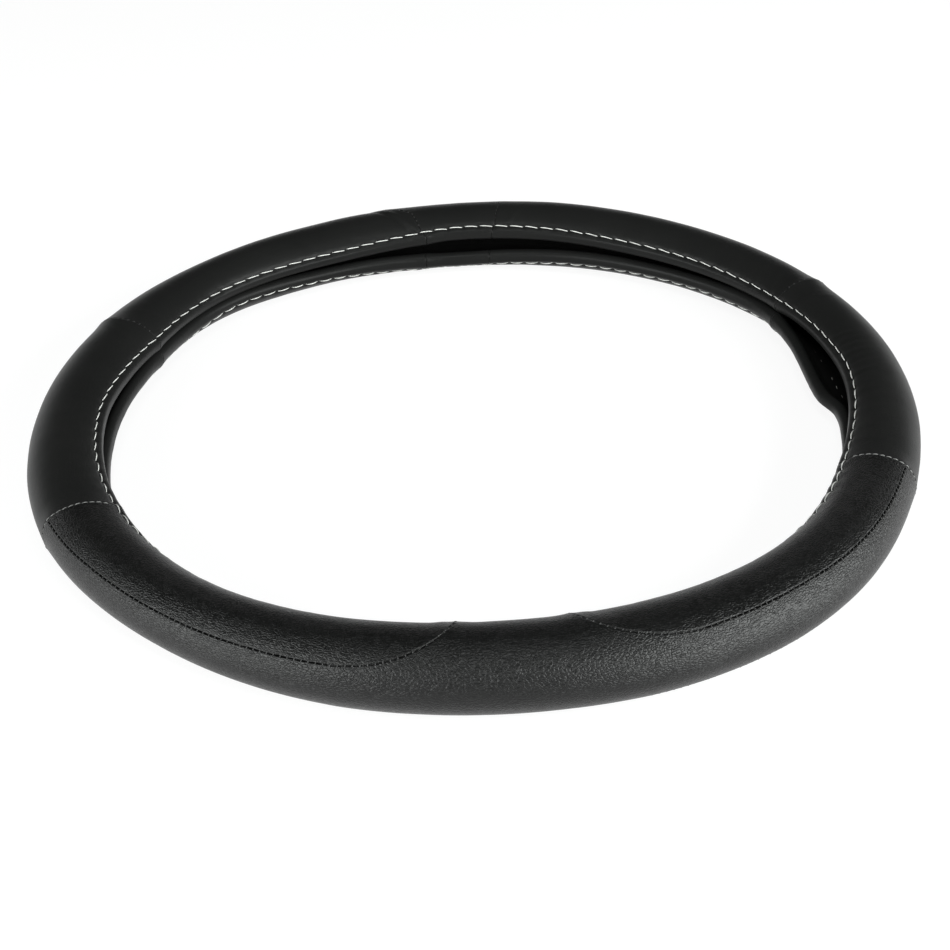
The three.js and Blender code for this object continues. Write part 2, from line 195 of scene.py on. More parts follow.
def end_spot(angle):
    """Where the wall ends inside the lower lip."""
    return lower_lip(angle) - FULL_TURN + LIP_ANGLE


def upper_stitch(angle):
    return upper_lip(angle) - section_angle(upper_inset(angle))


def lower_stitch(angle):
    return lower_lip(angle) - FULL_TURN + section_angle(lower_inset(angle))


def place(angle, spot, bend, depth):
    """Points of the tube in mm. Bend turns the outward direction into the channel at a lip."""
    angle, spot, bend, depth = np.broadcast_arrays(angle, spot, bend, depth)
    half_width = SECTION_WIDTH / 2 - LEATHER_FACE + half_width_change(angle)
    half_height = SECTION_HEIGHT / 2 - LEATHER_FACE + half_height_change(angle)

    def outward(spot_angle):
        across, up = half_height * np.cos(spot_angle), half_width * np.sin(spot_angle)
        length = np.hypot(across, up)
        return across / length, up / length

    rest = math.radians(BOTTOM + REST_BAND_ANGLE / 2)
    lift = -(half_height * math.sin(rest) + LEATHER_FACE * outward(rest)[1])
    turn, lean = np.radians(spot), np.radians(bend)
    out_x, out_z = outward(turn)
    way_x = out_x * np.cos(lean) - out_z * np.sin(lean)
    way_z = out_z * np.cos(lean) + out_x * np.sin(lean)
    hang = smooth((LIP_SAG_FROM - FULL_TURN - spot) / (LIP_SAG_FROM - LIP_SAG_FULL))
    sag = np.maximum(0, lip_sag(angle)) * hang
    radius = CENTRE_RADIUS + plan_change(angle) + half_width * np.cos(turn) - sag + depth * way_x
    height = lift + half_height * np.sin(turn) + depth * way_z
    around = np.radians(angle)
    return np.stack([radius * np.cos(around), radius * np.sin(around), height], axis=-1)


TINY = 1e-9


def unit(vectors):
    return vectors / np.maximum(TINY, np.linalg.norm(vectors, axis=-1, keepdims=True))


NOISE_ROWS = 64


def value_noise(angle, spot, cell, seed):
    """Smooth noise of -1 to 1, endless round the ring. Cell is its bump size in mm, round and over."""
    turns = int(round(FULL_TURN / float(ring_angle(cell[0]))))
    lattice = np.random.default_rng(seed).uniform(-1, 1, (turns, NOISE_ROWS))
    u = np.mod(angle, FULL_TURN) / FULL_TURN * turns
    v = (spot + FULL_TURN) / float(section_angle(cell[1]))
    i, j = np.floor(u).astype(int), np.floor(v).astype(int)
    x, y = smooth(u - i), smooth(v - j)

    def at(a, b):
        return lattice[(i + a) % turns, (j + b) % NOISE_ROWS]

    near = lerp(at(0, 0), at(1, 0), x)
    far = lerp(at(0, 1), at(1, 1), x)
    return lerp(near, far, y)


# Spacing of the grids in mm: fine beside seams and lips, plain between them
SEAM_STEPS = (0, 0.12, 0.28, 0.48, 0.75, 1.2, 1.9, 2.8, 3.9)
LIP_STEP = 0.6
LIP_STEP_COUNT = 20
LIP_STEPS = tuple(LIP_STEP * k for k in range(LIP_STEP_COUNT))
RING_STEP = 1.15
SECTION_STEP = 1.3
LEAST_LINES = 3
HEM_ROWS = 6
BEND_ROWS = 9
SEAM_HALF_GAP = 0.1


def spacing(low_steps, high_steps, length, step):
    """Grid lines as shares of the way and added mm: fixed steps at both ends, even ones between."""
    plain = length - low_steps[-1] - high_steps[-1]
    share = np.linspace(0, 1, max(LEAST_LINES, int(plain / step)) + 2)[1:-1]
    shares = np.concatenate([np.zeros(len(low_steps)), share, np.ones(len(high_steps))])
    between = lerp(low_steps[-1], -high_steps[-1], share)
    added = np.concatenate([low_steps, between, -np.array(high_steps[::-1], float)])
    return shares, added


class Rows:
    """The rows of a grid over the section: spots between two lines, with hems past the lips."""

    def __init__(self, low, high, low_steps, high_steps, length, low_hem=False, high_hem=False):
        self.low, self.high = low, high
        share, added = spacing(low_steps, high_steps, length, SECTION_STEP)
        added = section_angle(added)
        bend = np.zeros(len(share))
        turn = np.linspace(0, HALF_TURN, BEND_ROWS + 2)[1:]
        hem = HEM_ANGLE * np.linspace(0, 1, HEM_ROWS + 1)[1:]
        past = np.concatenate([np.zeros(len(turn)), hem])
        over = np.concatenate([turn, np.full(HEM_ROWS, float(HALF_TURN))])
        if low_hem:
            share = np.concatenate([np.zeros(len(past)), share])
            added = np.concatenate([past[::-1], added])
            bend = np.concatenate([-over[::-1], bend])
        if high_hem:
            share = np.concatenate([share, np.ones(len(past))])
            added = np.concatenate([added, -past])
            bend = np.concatenate([bend, over])
        self.share, self.added, self.bend = share, added, bend

    def spots(self, angle):
        return lerp(self.low(angle), self.high(angle), self.share) + self.added


def block(rows, start, finish, first=SEAM_STEPS, last=SEAM_STEPS):
    """A grid of (angle, spot, bend), columns by rows. Start and finish give one angle for each row."""
    length = math.radians(float(np.max(finish - start))) * CENTRE_RADIUS
    share, added = spacing(first, last, length, RING_STEP)
    column = (slice(None), None)
    angle = lerp(start, finish, share[column]) + ring_angle(added)[column]
    spot = rows.spots(angle)
    return np.stack([angle, spot, np.broadcast_to(rows.bend, spot.shape)], axis=-1)


def seam_at(keys, rows):
    """The ring angle of a cross seam at each row."""
    spots = [key[0] for key in keys]
    angles = [float(key[1]) for key in keys]
    nominal = float(np.interp(TOP, spots, angles))
    return np.interp(rows.spots(nominal), spots, angles)


upper_level = through_keys(UPPER_LENS_LEVEL)
lower_level = through_keys(LOWER_LENS_LEVEL)

# Rough lengths over the section in mm, which set how many rows a grid gets
OUTSIDE_LENGTH = math.radians(320) * SECTION_RADIUS
ZONE_LENGTH = math.radians(112) * SECTION_RADIUS
BAND_LENGTH = math.radians(87) * SECTION_RADIUS
GAP_ANGLE = float(ring_angle(SEAM_HALF_GAP))
GAP_SPOT = float(section_angle(SEAM_HALF_GAP))


def wrap_blocks(from_seam, to_seam):
    """The grid of a panel that runs from one cross seam to the next."""
    rows = Rows(end_spot, top_spot, LIP_STEPS, LIP_STEPS, OUTSIDE_LENGTH, low_hem=True, high_hem=True)
    start, finish = seam_at(from_seam, rows), seam_at(to_seam, rows)
    finish = finish + FULL_TURN * (finish < start)
    return [block(rows, start + GAP_ANGLE, finish - GAP_ANGLE)]


def tip_angles(rows, level, hand):
    """The ring angle of a lens panel's tip seam at each row, from its long seam to the lip."""
    tip = FRONT_AXIS + LENS_TIP_OFFSET + hand * LENS_TIP
    bend_start = tip + hand * float(ring_angle(LENS_TIP_LENGTH))
    seam = upper_level if level > 0 else lower_level
    rise = level * (rows.spots(tip) - seam(tip))
    rise = np.where(rows.bend == 0, np.clip(rise, 0, LENS_TIP_RISE), LENS_TIP_RISE)
    return lerp(bend_start, tip, np.sqrt(1 - (1 - rise / LENS_TIP_RISE) ** 2))


def zone_rows(level, grow):
    """The rows from a long lens seam over the nearer lip."""
    if level > 0:
        return Rows(lambda a: upper_level(a) + grow, top_spot, SEAM_STEPS, LIP_STEPS, ZONE_LENGTH,
                    high_hem=True)
    return Rows(end_spot, lambda a: lower_level(a) - grow, LIP_STEPS, SEAM_STEPS, ZONE_LENGTH,
                low_hem=True)


def lens_blocks(hand, level):
    rows = zone_rows(level, GAP_SPOT)
    tip = tip_angles(rows, level, hand) + hand * GAP_ANGLE
    cross = seam_at(FRONT_RIGHT_SEAM if hand > 0 else FRONT_LEFT_SEAM, rows) - hand * GAP_ANGLE
    return [block(rows, tip, cross) if hand > 0 else block(rows, cross, tip)]


def grip_blocks():
    """The hourglass panel: a band along the outside, and a tongue over each lip."""
    band = Rows(lambda a: lower_level(a) + GAP_SPOT, lambda a: upper_level(a) - GAP_SPOT,
                SEAM_STEPS, SEAM_STEPS, BAND_LENGTH)
    tongues = []
    for level in (1, -1):
        rows = zone_rows(level, -GAP_SPOT)
        tongues.append(block(rows, tip_angles(rows, level, -1) + GAP_ANGLE,
                             tip_angles(rows, level, 1) - GAP_ANGLE))
    left, right = tongues[0][0, 0, 0], tongues[0][-1, 0, 0]
    even = np.ones(len(band.bend))
    start = seam_at(FRONT_LEFT_SEAM, band) + GAP_ANGLE
    finish = seam_at(FRONT_RIGHT_SEAM, band) - GAP_ANGLE
    middle = block(band, left * even, right * even)
    return tongues + [
        middle, block(band, start, left * even, SEAM_STEPS, (0,)),
        block(band, right * even, finish, (0,), SEAM_STEPS),
    ]


# Seams as dense paths over the skin, which the relief and the seam threads follow

PATH_STEP = 0.4
LENS_PATH_START = 65
LENS_PATH_POINTS = 300


def cross_path(keys):
    length = OUTSIDE_LENGTH * SECTION_STEP / PATH_STEP
    rows = Rows(end_spot, top_spot, (0,), (0,), length, low_hem=True, high_hem=True)
    angle = seam_at(keys, rows)
    return np.stack([angle, rows.spots(angle), rows.bend], axis=-1)


def lens_path(hand, level):
    """From the cross seam along the outside, up the tip's curve and over the lip."""
    rows = zone_rows(level, 0)
    tip = tip_angles(rows, level, hand)
    rise = np.stack([tip, rows.spots(tip), rows.bend], axis=-1)
    rise = rise if level > 0 else rise[::-1]
    cross = FRONT_RIGHT_SEAM if hand > 0 else FRONT_LEFT_SEAM
    seam = upper_level if level > 0 else lower_level
    spot = float(seam(FRONT_AXIS + hand * LENS_PATH_START))
    start = float(np.interp(spot, [key[0] for key in cross], [key[1] for key in cross]))
    along = np.linspace(start, rise[0, 0], LENS_PATH_POINTS)[:-1]
    straight = np.stack([along, seam(along), np.zeros(len(along))], axis=-1)
    return dense(np.concatenate([straight, rise]))


def dense(path):
    """The path again at even steps of PATH_STEP."""
    points = place(path[:, 0], path[:, 1], path[:, 2], LEATHER_FACE)
    reach = np.concatenate([[0], np.cumsum(np.linalg.norm(np.diff(points, axis=0), axis=1))])
    even = np.arange(0, reach[-1], PATH_STEP)
    return np.stack([np.interp(even, reach, path[:, k]) for k in range(3)], axis=-1)


CROSS_PATHS = {
    "rear_centre_right": dense(cross_path(REAR_RIGHT_OF_CENTRE)),
    "rear_centre_left": dense(cross_path(REAR_LEFT_OF_CENTRE)),
    "rear_left": dense(cross_path(REAR_LEFT_SEAM)),
    "rear_right": dense(cross_path(REAR_RIGHT_SEAM)),
    "front_left": dense(cross_path(FRONT_LEFT_SEAM)),
    "front_right": dense(cross_path(FRONT_RIGHT_SEAM)),
}
LENS_PATHS = {
    "left_upper": lens_path(-1, 1),
    "left_lower": lens_path(-1, -1),
    "right_upper": lens_path(1, 1),
    "right_lower": lens_path(1, -1),
}

# The skin's relief in mm
SEAM_ROLL_RADIUS = 0.65
SEAM_ROLL_DEPTH = 1.2
REAR_ROLL_DEPTH = 0.5
SEAM_RIDGE = 0.35
RIDGES = {
    "left_upper": 0.6, "right_upper": 0.7, "rear_left": 0.8, "rear_right": 0.9,
    "rear_centre_left": 0.5, "rear_centre_right": 0.1,
}
RIDGE_WIDTH = 4.5
SEAM_PUCKER = 0.06
SEAM_PUCKER_WIDTH = 1.3
SEAM_REACH = 9
SEAM_STITCH_PITCH = 2.7
STITCH_CIRCLE = 2 * math.pi * (SLIT_RADIUS + EDGE_STITCH_INSET / 2)
STITCHES = int(round(STITCH_CIRCLE / EDGE_STITCH_PITCH))
POINTS_AT_ONCE = 2000
LEAST_LEATHER = 0.25
MOST_RELIEF = 1.2


def seam_distance(points, path):
    """Distance in mm to a seam's path and how far along it, or SEAM_REACH where it is far off."""
    line = place(path[:, 0], path[:, 1], path[:, 2], LEATHER_FACE)
    away = np.full(len(points), float(SEAM_REACH))
    along = np.zeros(len(points))
    low, high = line.min(axis=0) - SEAM_REACH, line.max(axis=0) + SEAM_REACH
    near = np.flatnonzero(np.all((points > low) & (points < high), axis=1))
    for part in np.array_split(near, max(1, len(near) // POINTS_AT_ONCE)):
        if len(part) == 0:
            continue
        gap = np.linalg.norm(points[part, None, :] - line[None, :, :], axis=2)
        k = gap.argmin(axis=1)
        away[part] = np.minimum(gap[np.arange(len(part)), k], SEAM_REACH)
        along[part] = k * PATH_STEP
    return away, along


def ridge_at(away, height):
    return height * (np.exp(-away / RIDGE_WIDTH) - math.exp(-SEAM_REACH / RIDGE_WIDTH))


def seam_relief(points, rolled=True):
    """The taut skin peaks over each seam's allowances, where the panel edges roll down into it."""
    relief = np.zeros(len(points))
    for part, path in {**CROSS_PATHS, **LENS_PATHS}.items():
        away, along = seam_distance(points, path)
        relief = relief + ridge_at(away, RIDGES.get(part, SEAM_RIDGE))
        if rolled:
            edge = np.clip(1 - away / SEAM_ROLL_RADIUS, 0, 1)
            roll_depth = REAR_ROLL_DEPTH if part.startswith("rear") else SEAM_ROLL_DEPTH
            pull = 0.5 + 0.5 * np.cos(2 * np.pi * along / SEAM_STITCH_PITCH)
            relief = relief - roll_depth * (1 - np.sqrt(1 - edge ** 2))
            relief = relief - SEAM_PUCKER * pull * np.exp(-(away / SEAM_PUCKER_WIDTH) ** 2)
    return relief


def off_from(angle, middle):
    """How far an angle is from a middle one, from minus to plus a half turn."""
    return np.mod(angle - middle + HALF_TURN, FULL_TURN) - HALF_TURN


SCALLOP_MIDDLE = 329
SCALLOP_SPREAD = 6
SCALLOP_LEAST = 0.005
SCALLOP_GAIN = 0.24


def scallop(angle):
    """How much the skin puffs out between two edge stitches: most in the right front bend."""
    off = off_from(angle, SCALLOP_MIDDLE)
    return SCALLOP_LEAST + SCALLOP_GAIN * np.exp(-(off / SCALLOP_SPREAD) ** 2)


GROOVE_DEPTH = 0.20
GROOVE_WIDTH = 1.1
PIT_DEPTH = 0.40
PIT_WIDTH = 1.2
PIT_LENGTH = 1.0
PUCKER_OFFSET = 1.5
PUCKER_WIDTH = 2.0
LIP_ROLL = 0.42


def stitch_relief(angle, spot, bend):
    """A shallow groove under each edge stitch line, pits at its holes and a soft roll to the lip."""
    relief = np.zeros(len(angle))
    phase = np.mod(angle / FULL_TURN * STITCHES, 1)
    hole = np.minimum(phase, 1 - phase) * EDGE_STITCH_PITCH
    for line, level in ((upper_stitch, 1), (lower_stitch, -1)):
        past = level * np.radians(spot - line(angle)) * SECTION_RADIUS
        groove = -GROOVE_DEPTH * np.exp(-(past / GROOVE_WIDTH) ** 2)
        pit = -PIT_DEPTH * np.exp(-(past / PIT_WIDTH) ** 2 - (hole / PIT_LENGTH) ** 2)
        beside = np.exp(-((np.abs(past) - PUCKER_OFFSET) / PUCKER_WIDTH) ** 2)
        pucker = scallop(angle) * np.cos(2 * np.pi * phase) * beside
        share = np.clip(past / upper_inset(angle), 0, 1)
        roll = LIP_ROLL * np.sin(np.pi * share)
        relief = relief + (bend == 0) * (groove + pit - pucker + roll)
    return relief


# The skin's soft waves, as (height in mm, bump size in mm round the ring and over the section, seed),
# and the shorter ones across the edge stitch lines
WAVES = [(0.16, (34, 26), 11), (0.07, (15, 13), 12), (0.025, (5.5, 6.5), 13)]
STITCH_WAVE = (0.06, (3.4, 14), 14)
STITCH_WAVE_REACH = 7.0
HEM_WAVE_SHARE = 0.4


def wrinkle_relief(angle, spot, bend):
    waves = sum(height * value_noise(angle, spot, cell, seed) for height, cell, seed in WAVES)
    near = 0
    for line in (upper_stitch, lower_stitch):
        past = np.radians(spot - line(angle)) * SECTION_RADIUS
        near = near + np.exp(-(past / STITCH_WAVE_REACH) ** 2)
    height, cell, seed = STITCH_WAVE
    cross = height * value_noise(angle, spot, cell, seed) * near
    return (waves + cross) * np.where(bend == 0, 1, HEM_WAVE_SHARE)


# Local creases: (ring angle, spot, half width round the ring in mm, reach over the section in mm,
# slant in mm round the ring for each mm over the section, height in mm)
CREASES = [
    (9.5, 122, 1.3, 7, 0.25, 0.12), (6.8, 119, 1.2, 8, 0.15, -0.10), (4.0, 120, 1.3, 7, 0.05, 0.12),
    (1.2, 118, 1.2, 8, -0.10, -0.10), (-1.8, 121, 1.4, 7, -0.10, 0.10),
    (82.4, 150, 1.0, 4, 0.30, 0.30), (84.8, 150, 1.0, 4, -0.30, -0.25),
    (95.3, 150, 1.1, 5, 0.40, 0.30), (98.4, 148, 1.0, 5, -0.50, -0.30),
    (98.8, 118, 1.6, 12, -0.75, 0.45), (100.6, 108, 1.5, 12, -0.80, -0.30),
    (80.0, 125, 1.5, 9, 0.40, 0.22), (29.5, 118, 1.5, 10, -0.45, 0.24), (21.5, 122, 1.4, 10, 0.40, 0.20),
    (159.5, 112, 1.5, 9, 0.40, 0.12), (151.5, 120, 1.6, 9, -0.40, 0.12),
    (262.5, 138, 2.6, 9, 0.15, 0.25), (280.4, 138, 2.6, 9, -0.15, 0.25),
]


def crease_relief(angle, spot, bend):
    relief = np.zeros(len(angle))
    for ring, middle, width, reach, slant, height in CREASES:
        around = np.radians(off_from(angle, ring)) * CENTRE_RADIUS
        over = np.radians(spot - middle) * SECTION_RADIUS
        side = around - slant * over
        relief = relief + height * np.exp(-(side / width) ** 2 - (over / reach) ** 2)
    return relief * (bend == 0)


def soft_relief(angle, spot, bend):
    return wrinkle_relief(angle, spot, bend) + crease_relief(angle, spot, bend)


def relief_at(params):
    angle, spot, bend = params.T
    points = place(angle, spot, bend, LEATHER_FACE)
    relief = seam_relief(points) + stitch_relief(angle, spot, bend) + soft_relief(angle, spot, bend)
    return np.clip(relief, -LEATHER + LEAST_LEATHER, MOST_RELIEF)


def under_threads(angle, spot):
    """The relief of the skin without its seam rolls, stitch holes and grooves."""
    flat, over = angle.ravel(), spot.ravel()
    points = place(flat, over, 0, LEATHER_FACE)
    relief = seam_relief(points, rolled=False) + soft_relief(flat, over, np.zeros(len(flat)))
    return relief.reshape(angle.shape)


# Meshes

FLOOR_CLEARANCE = 0.02


def mesh_object(name, points, faces, material, lay=None):
    """An object of quads from points in mm, smooth shaded, with where each point lies on its sheet."""
    mesh = bpy.data.meshes.new(name)
    faces = np.asarray(faces, dtype=np.int32)
    mesh.vertices.add(len(points))
    points = np.array(points)
    points[:, 2] = np.maximum(points[:, 2], FLOOR_CLEARANCE)
    mesh.vertices.foreach_set("co", (points * MM).astype(np.float32).ravel())
    mesh.loops.add(faces.size)
    mesh.loops.foreach_set("vertex_index", faces.ravel())
    mesh.polygons.add(len(faces))
    mesh.polygons.foreach_set("loop_start", np.arange(0, faces.size, 4, dtype=np.int32))
    mesh.polygons.foreach_set("use_smooth", np.ones(len(faces), dtype=bool))
    if lay is not None:
        flat = lay[faces.ravel() % len(lay)] * MM
        mesh.uv_layers.new(name="lay").data.foreach_set("uv", flat.astype(np.float32).ravel())
    mesh.update(calc_edges=True)
    mesh.validate()
    made = bpy.data.objects.new(name, mesh)
    bpy.context.scene.collection.objects.link(made)
    mesh.materials.append(material)
    return made


def grid_quads(columns, rows, first):
    i, j = np.meshgrid(np.arange(columns - 1), np.arange(rows - 1), indexing="ij")
    corner = first + i * rows + j
    return np.stack([corner, corner + rows, corner + rows + 1, corner + 1], axis=-1).reshape(-1, 4)


def open_edges(quads, count):
    """The directed edges that only one face uses."""
    edges = np.stack([quads, np.roll(quads, -1, axis=1)], axis=-1).reshape(-1, 2).astype(np.int64)
    forward = edges[:, 0] * count + edges[:, 1]
    backward = edges[:, 1] * count + edges[:, 0]
    return edges[~np.isin(forward, backward)]


def closed_shell(quads, face_points, under_points):
    """Both faces of a sheet and the walls round its edges."""
    count = len(face_points)
    edge = open_edges(quads, count)
    walls = np.stack([edge[:, 1], edge[:, 0], edge[:, 0] + count, edge[:, 1] + count], axis=-1)
    faces = np.concatenate([quads, quads[:, ::-1] + count, walls])
    return np.concatenate([face_points, under_points]), faces


POINT_KEYS_PER_UNIT = 1e4


def joined(blocks):
    """The blocks' points without doubles, and their quads."""
    quads, first = [], 0
    for grid in blocks:
        columns, rows = grid.shape[:2]
        quads.append(grid_quads(columns, rows, first))
        first += columns * rows
    params = np.concatenate([grid.reshape(-1, 3) for grid in blocks])
    key = np.round(params * POINT_KEYS_PER_UNIT).astype(np.int64)
    _, keep, place_of = np.unique(key, axis=0, return_index=True, return_inverse=True)
    return params[keep], place_of.ravel()[np.concatenate(quads)]


def skin(name, blocks, material):
    """A leather panel from its grid blocks."""
    params, quads = joined(blocks)
    angle, spot, bend = params.T
    face = place(angle, spot, bend, LEATHER_FACE + relief_at(params))
    under = place(angle, spot, bend, LEATHER_UNDER)
    points, faces = closed_shell(quads, face, under)
    lay = np.stack([np.radians(angle) * CENTRE_RADIUS, np.radians(spot) * SECTION_RADIUS], axis=-1)
    return mesh_object(name, points, faces, material, lay)


LINER_COLUMNS = 720
LINER_ROWS = 72
RIB_HEIGHT = 0.12
RIB_COUNT = 30


def liner(name, material):
    """The endless rubber ring inside the leather, with fine ribs on its inner face."""
    angle = np.linspace(0, FULL_TURN, LINER_COLUMNS + 1)[:-1, None]
    share = np.linspace(0, 1, LINER_ROWS)
    spot = lerp(end_spot(angle), top_spot(angle), share)
    params = np.stack([np.broadcast_to(angle, spot.shape), spot, np.zeros(spot.shape)], axis=-1)
    columns, rows = spot.shape
    quads = grid_quads(columns + 1, rows, 0) % (columns * rows)
    flat = params.reshape(-1, 3)
    rib = RIB_HEIGHT * np.cos(2 * np.pi * share * RIB_COUNT)[None, :] * np.ones((columns, 1))
    face = place(flat[:, 0], flat[:, 1], 0, RUBBER_FACE)
    under = place(flat[:, 0], flat[:, 1], 0, -RUBBER_FACE + rib.ravel())
    points, faces = closed_shell(quads, face, under)
    return mesh_object(name, points, faces, material)


# Threads

TUBE_SIDES = 8
TUBE_LOBES = 2
OUTWARD_STEP = 0.5


def tubes(centres, outs, radii, twist, lobe):
    """Closed tubes: centres and outward directions are (thread, ring, 3), radii are (thread, ring)."""
    count, rings = centres.shape[:2]
    along = unit(np.gradient(centres, axis=1))
    side = unit(np.cross(along, outs))
    lift = np.cross(side, along)
    phi = np.arange(TUBE_SIDES) / TUBE_SIDES * 2 * np.pi
    turn = np.linspace(0, twist, rings)[None, :, None]
    swell = 1 + lobe * np.cos(TUBE_LOBES * (phi[None, None, :] - turn))
    reach = radii[..., None] * swell
    ring = (centres[:, :, None, :]
            + (reach * np.cos(phi))[..., None] * side[:, :, None, :]
            + (reach * np.sin(phi))[..., None] * lift[:, :, None, :])
    points = ring.reshape(-1, 3)
    k, j = np.meshgrid(np.arange(rings - 1), np.arange(TUBE_SIDES), indexing="ij")
    corner = k * TUBE_SIDES + j
    after = k * TUBE_SIDES + (j + 1) % TUBE_SIDES
    sides = np.stack([corner, after, after + TUBE_SIDES, corner + TUBE_SIDES], -1).reshape(-1, 4)
    half = TUBE_SIDES // 2
    caps = []
    for start, flip in ((0, True), ((rings - 1) * TUBE_SIDES, False)):
        for m in range(half - 1):
            cap = [start + m, start + m + 1, start + TUBE_SIDES - 2 - m, start + TUBE_SIDES - 1 - m]
            caps.append(cap[::-1] if flip else cap)
    one = np.concatenate([sides, np.array(caps)])
    shift = (np.arange(count) * rings * TUBE_SIDES)[:, None, None]
    return points, (one[None] + shift).reshape(-1, 4)


def along_path(angle, spot, bend, depth):
    """Points at a depth on the skin and their outward directions."""
    points = place(angle, spot, bend, depth)
    outs = unit(place(angle, spot, bend, depth + OUTWARD_STEP) - points)
    return points, outs


EDGE_THREAD_RADIUS = 0.225
EDGE_THREAD_SUNK = 0.54
EDGE_THREAD_TWIST = 4.5
EDGE_THREAD_LOBE = 0.12
EDGE_THREAD_END_SHARE = 0.55
EDGE_STITCH_SHARE = 0.84
EDGE_STITCH_SLANT = 0.5
EDGE_STITCH_RINGS = 13
EDGE_ARCH_POWER = 0.6
EDGE_SEED = 5
SLANT_CHANGE = 0.35
RISE_CHANGE = 0.15
PUFF_GAIN = 2
# The stitches on the face and the smaller ones on the hem inside, as (turn into the channel,
# share of the thread's radius, rise in mm)
EDGE_STITCH_FACES = [(0, 1.0, 0.68), (HALF_TURN, 0.5, 0.42)]


def edge_stitches(name, line, level, material):
    """One row of stitches along a lip of the slit, on the face and on the hem inside."""
    draws = np.random.default_rng(EDGE_SEED + level)
    x = np.linspace(0, 1, EDGE_STITCH_RINGS)[None, :]
    start = (np.arange(STITCHES)[:, None] + (1 - EDGE_STITCH_SHARE) / 2) / STITCHES * FULL_TURN
    angle = start + x * EDGE_STITCH_SHARE / STITCHES * FULL_TURN
    slant = EDGE_STITCH_SLANT * (1 + SLANT_CHANGE * draws.uniform(-1, 1, (STITCHES, 1)))
    spot = line(angle) + level * section_angle(slant * (0.5 - x))
    arch = np.sin(np.pi * x) ** EDGE_ARCH_POWER
    puff = PUFF_GAIN * scallop(angle) * arch
    tall = 1 + RISE_CHANGE * draws.uniform(-1, 1, (STITCHES, 1))
    if level > 0:
        tall = tall * upper_thread_rise(angle)
    taper = lerp(EDGE_THREAD_END_SHARE, 1, arch)
    points, faces = [], []
    swell = under_threads(angle, spot)
    for bend, size, lift in EDGE_STITCH_FACES:
        depth = LEATHER_FACE - EDGE_THREAD_SUNK + (swell + puff) * (bend == 0) + lift * arch * tall
        centres, outs = along_path(angle, spot, bend * level, depth)
        radii = EDGE_THREAD_RADIUS * size * taper * np.ones_like(angle)
        made, quads = tubes(centres, outs, radii, EDGE_THREAD_TWIST, EDGE_THREAD_LOBE)
        faces.append(quads + sum(len(group) for group in points))
        points.append(made)
    return mesh_object(name, np.concatenate(points), np.concatenate(faces), material)


SEAM_THREAD_RADIUS = 0.2
SEAM_THREAD_TWIST = 1.5
SEAM_THREAD_LOBE = 0.1
SEAM_THREAD_END_SHARE = 0.6
SEAM_THREAD_RISE = 0.3
SEAM_RISE_CHANGE = 0.08
SEAM_SPAN_CHANGE = 0.2
SEAM_ARCH_POWER = 0.7
SEAM_STITCH_RINGS = 7
SEAM_STITCH_CLEARANCE = 1.6
AHEAD_STEP = 0.5
# The kinds of seam stitch, as (half length as a share of the pitch, half span across the seam in mm,
# how deep its ends are sunk in mm, thickness as a share of the plain thread's)
CROSS_RUNG = (0.06, 0.75, 0.5, 1.0)
LENS_RUNG = (0.06, 0.75, 0.46, 1.0)
DASH = (0.4, 0.2, 0.42, 1.1)


def seam_spots(path):
    """The stretch of a seam between the edge stitch lines, and how many stitches fit on it."""
    angle, spot, bend = path.T
    clear = float(section_angle(SEAM_STITCH_CLEARANCE))
    shown = (bend == 0) & (spot < upper_stitch(angle) - clear) & (spot > lower_stitch(angle) + clear)
    path = path[shown]
    return path, int((len(path) - 1) * PATH_STEP / SEAM_STITCH_PITCH)


def seam_stitches(name, path, material, seed, kind):
    """Short stitches over a seam's valley: rungs across it, or dashes that run along it."""
    half, span, sunk, thick = kind
    draws = np.random.default_rng(seed)
    path, count = seam_spots(path)
    x = np.linspace(0, 1, SEAM_STITCH_RINGS)[None, :]
    reach = (np.arange(count)[:, None] + 0.5 + half * (2 * x - 1)) * SEAM_STITCH_PITCH
    at = np.arange(len(path)) * PATH_STEP
    angle, spot = (np.interp(reach, at, path[:, k]) for k in (0, 1))
    arch = np.sin(np.pi * x) ** SEAM_ARCH_POWER
    soft = under_threads(angle, spot)
    rise = SEAM_THREAD_RISE + SEAM_RISE_CHANGE * draws.uniform(-1, 1, (count, 1))
    depth = LEATHER_FACE + soft - sunk + rise * arch
    centres, outs = along_path(angle, spot, 0, depth)
    next_angle, next_spot = (np.interp(reach + AHEAD_STEP, at, path[:, k]) for k in (0, 1))
    line = place(next_angle, next_spot, 0, LEATHER_FACE)
    ahead = unit(line - place(angle, spot, 0, LEATHER_FACE))
    across = unit(np.cross(ahead, outs))
    lean = span * (1 + SEAM_SPAN_CHANGE * draws.uniform(-1, 1, (count, 1))) * (1 - 2 * x)
    centres = centres + lean[..., None] * across
    taper = lerp(SEAM_THREAD_END_SHARE, 1, arch)
    radii = thick * SEAM_THREAD_RADIUS * taper * np.ones_like(angle)
    points, faces = tubes(centres, outs, radii, SEAM_THREAD_TWIST, SEAM_THREAD_LOBE)
    return mesh_object(name, points, faces, material)


# Materials

PEBBLE_RANDOMNESS = 0.95
WOBBLE_DETAIL = 2
FOLD_ROUGHNESS = 0.6
# The part of a noise's range that most of its values lie in
NOISE_LOW = 0.3
NOISE_HIGH = 0.7


def new_material(name):
    material = bpy.data.materials.new(name)
    material.use_nodes = True
    tree = material.node_tree
    return material, tree, tree.nodes["Principled BSDF"]


def add_node(tree, kind, inputs=None, **settings):
    node = tree.nodes.new(kind)
    for key, value in settings.items():
        setattr(node, key, value)
    for key, value in (inputs or {}).items():
        node.inputs[key].default_value = value
    return node


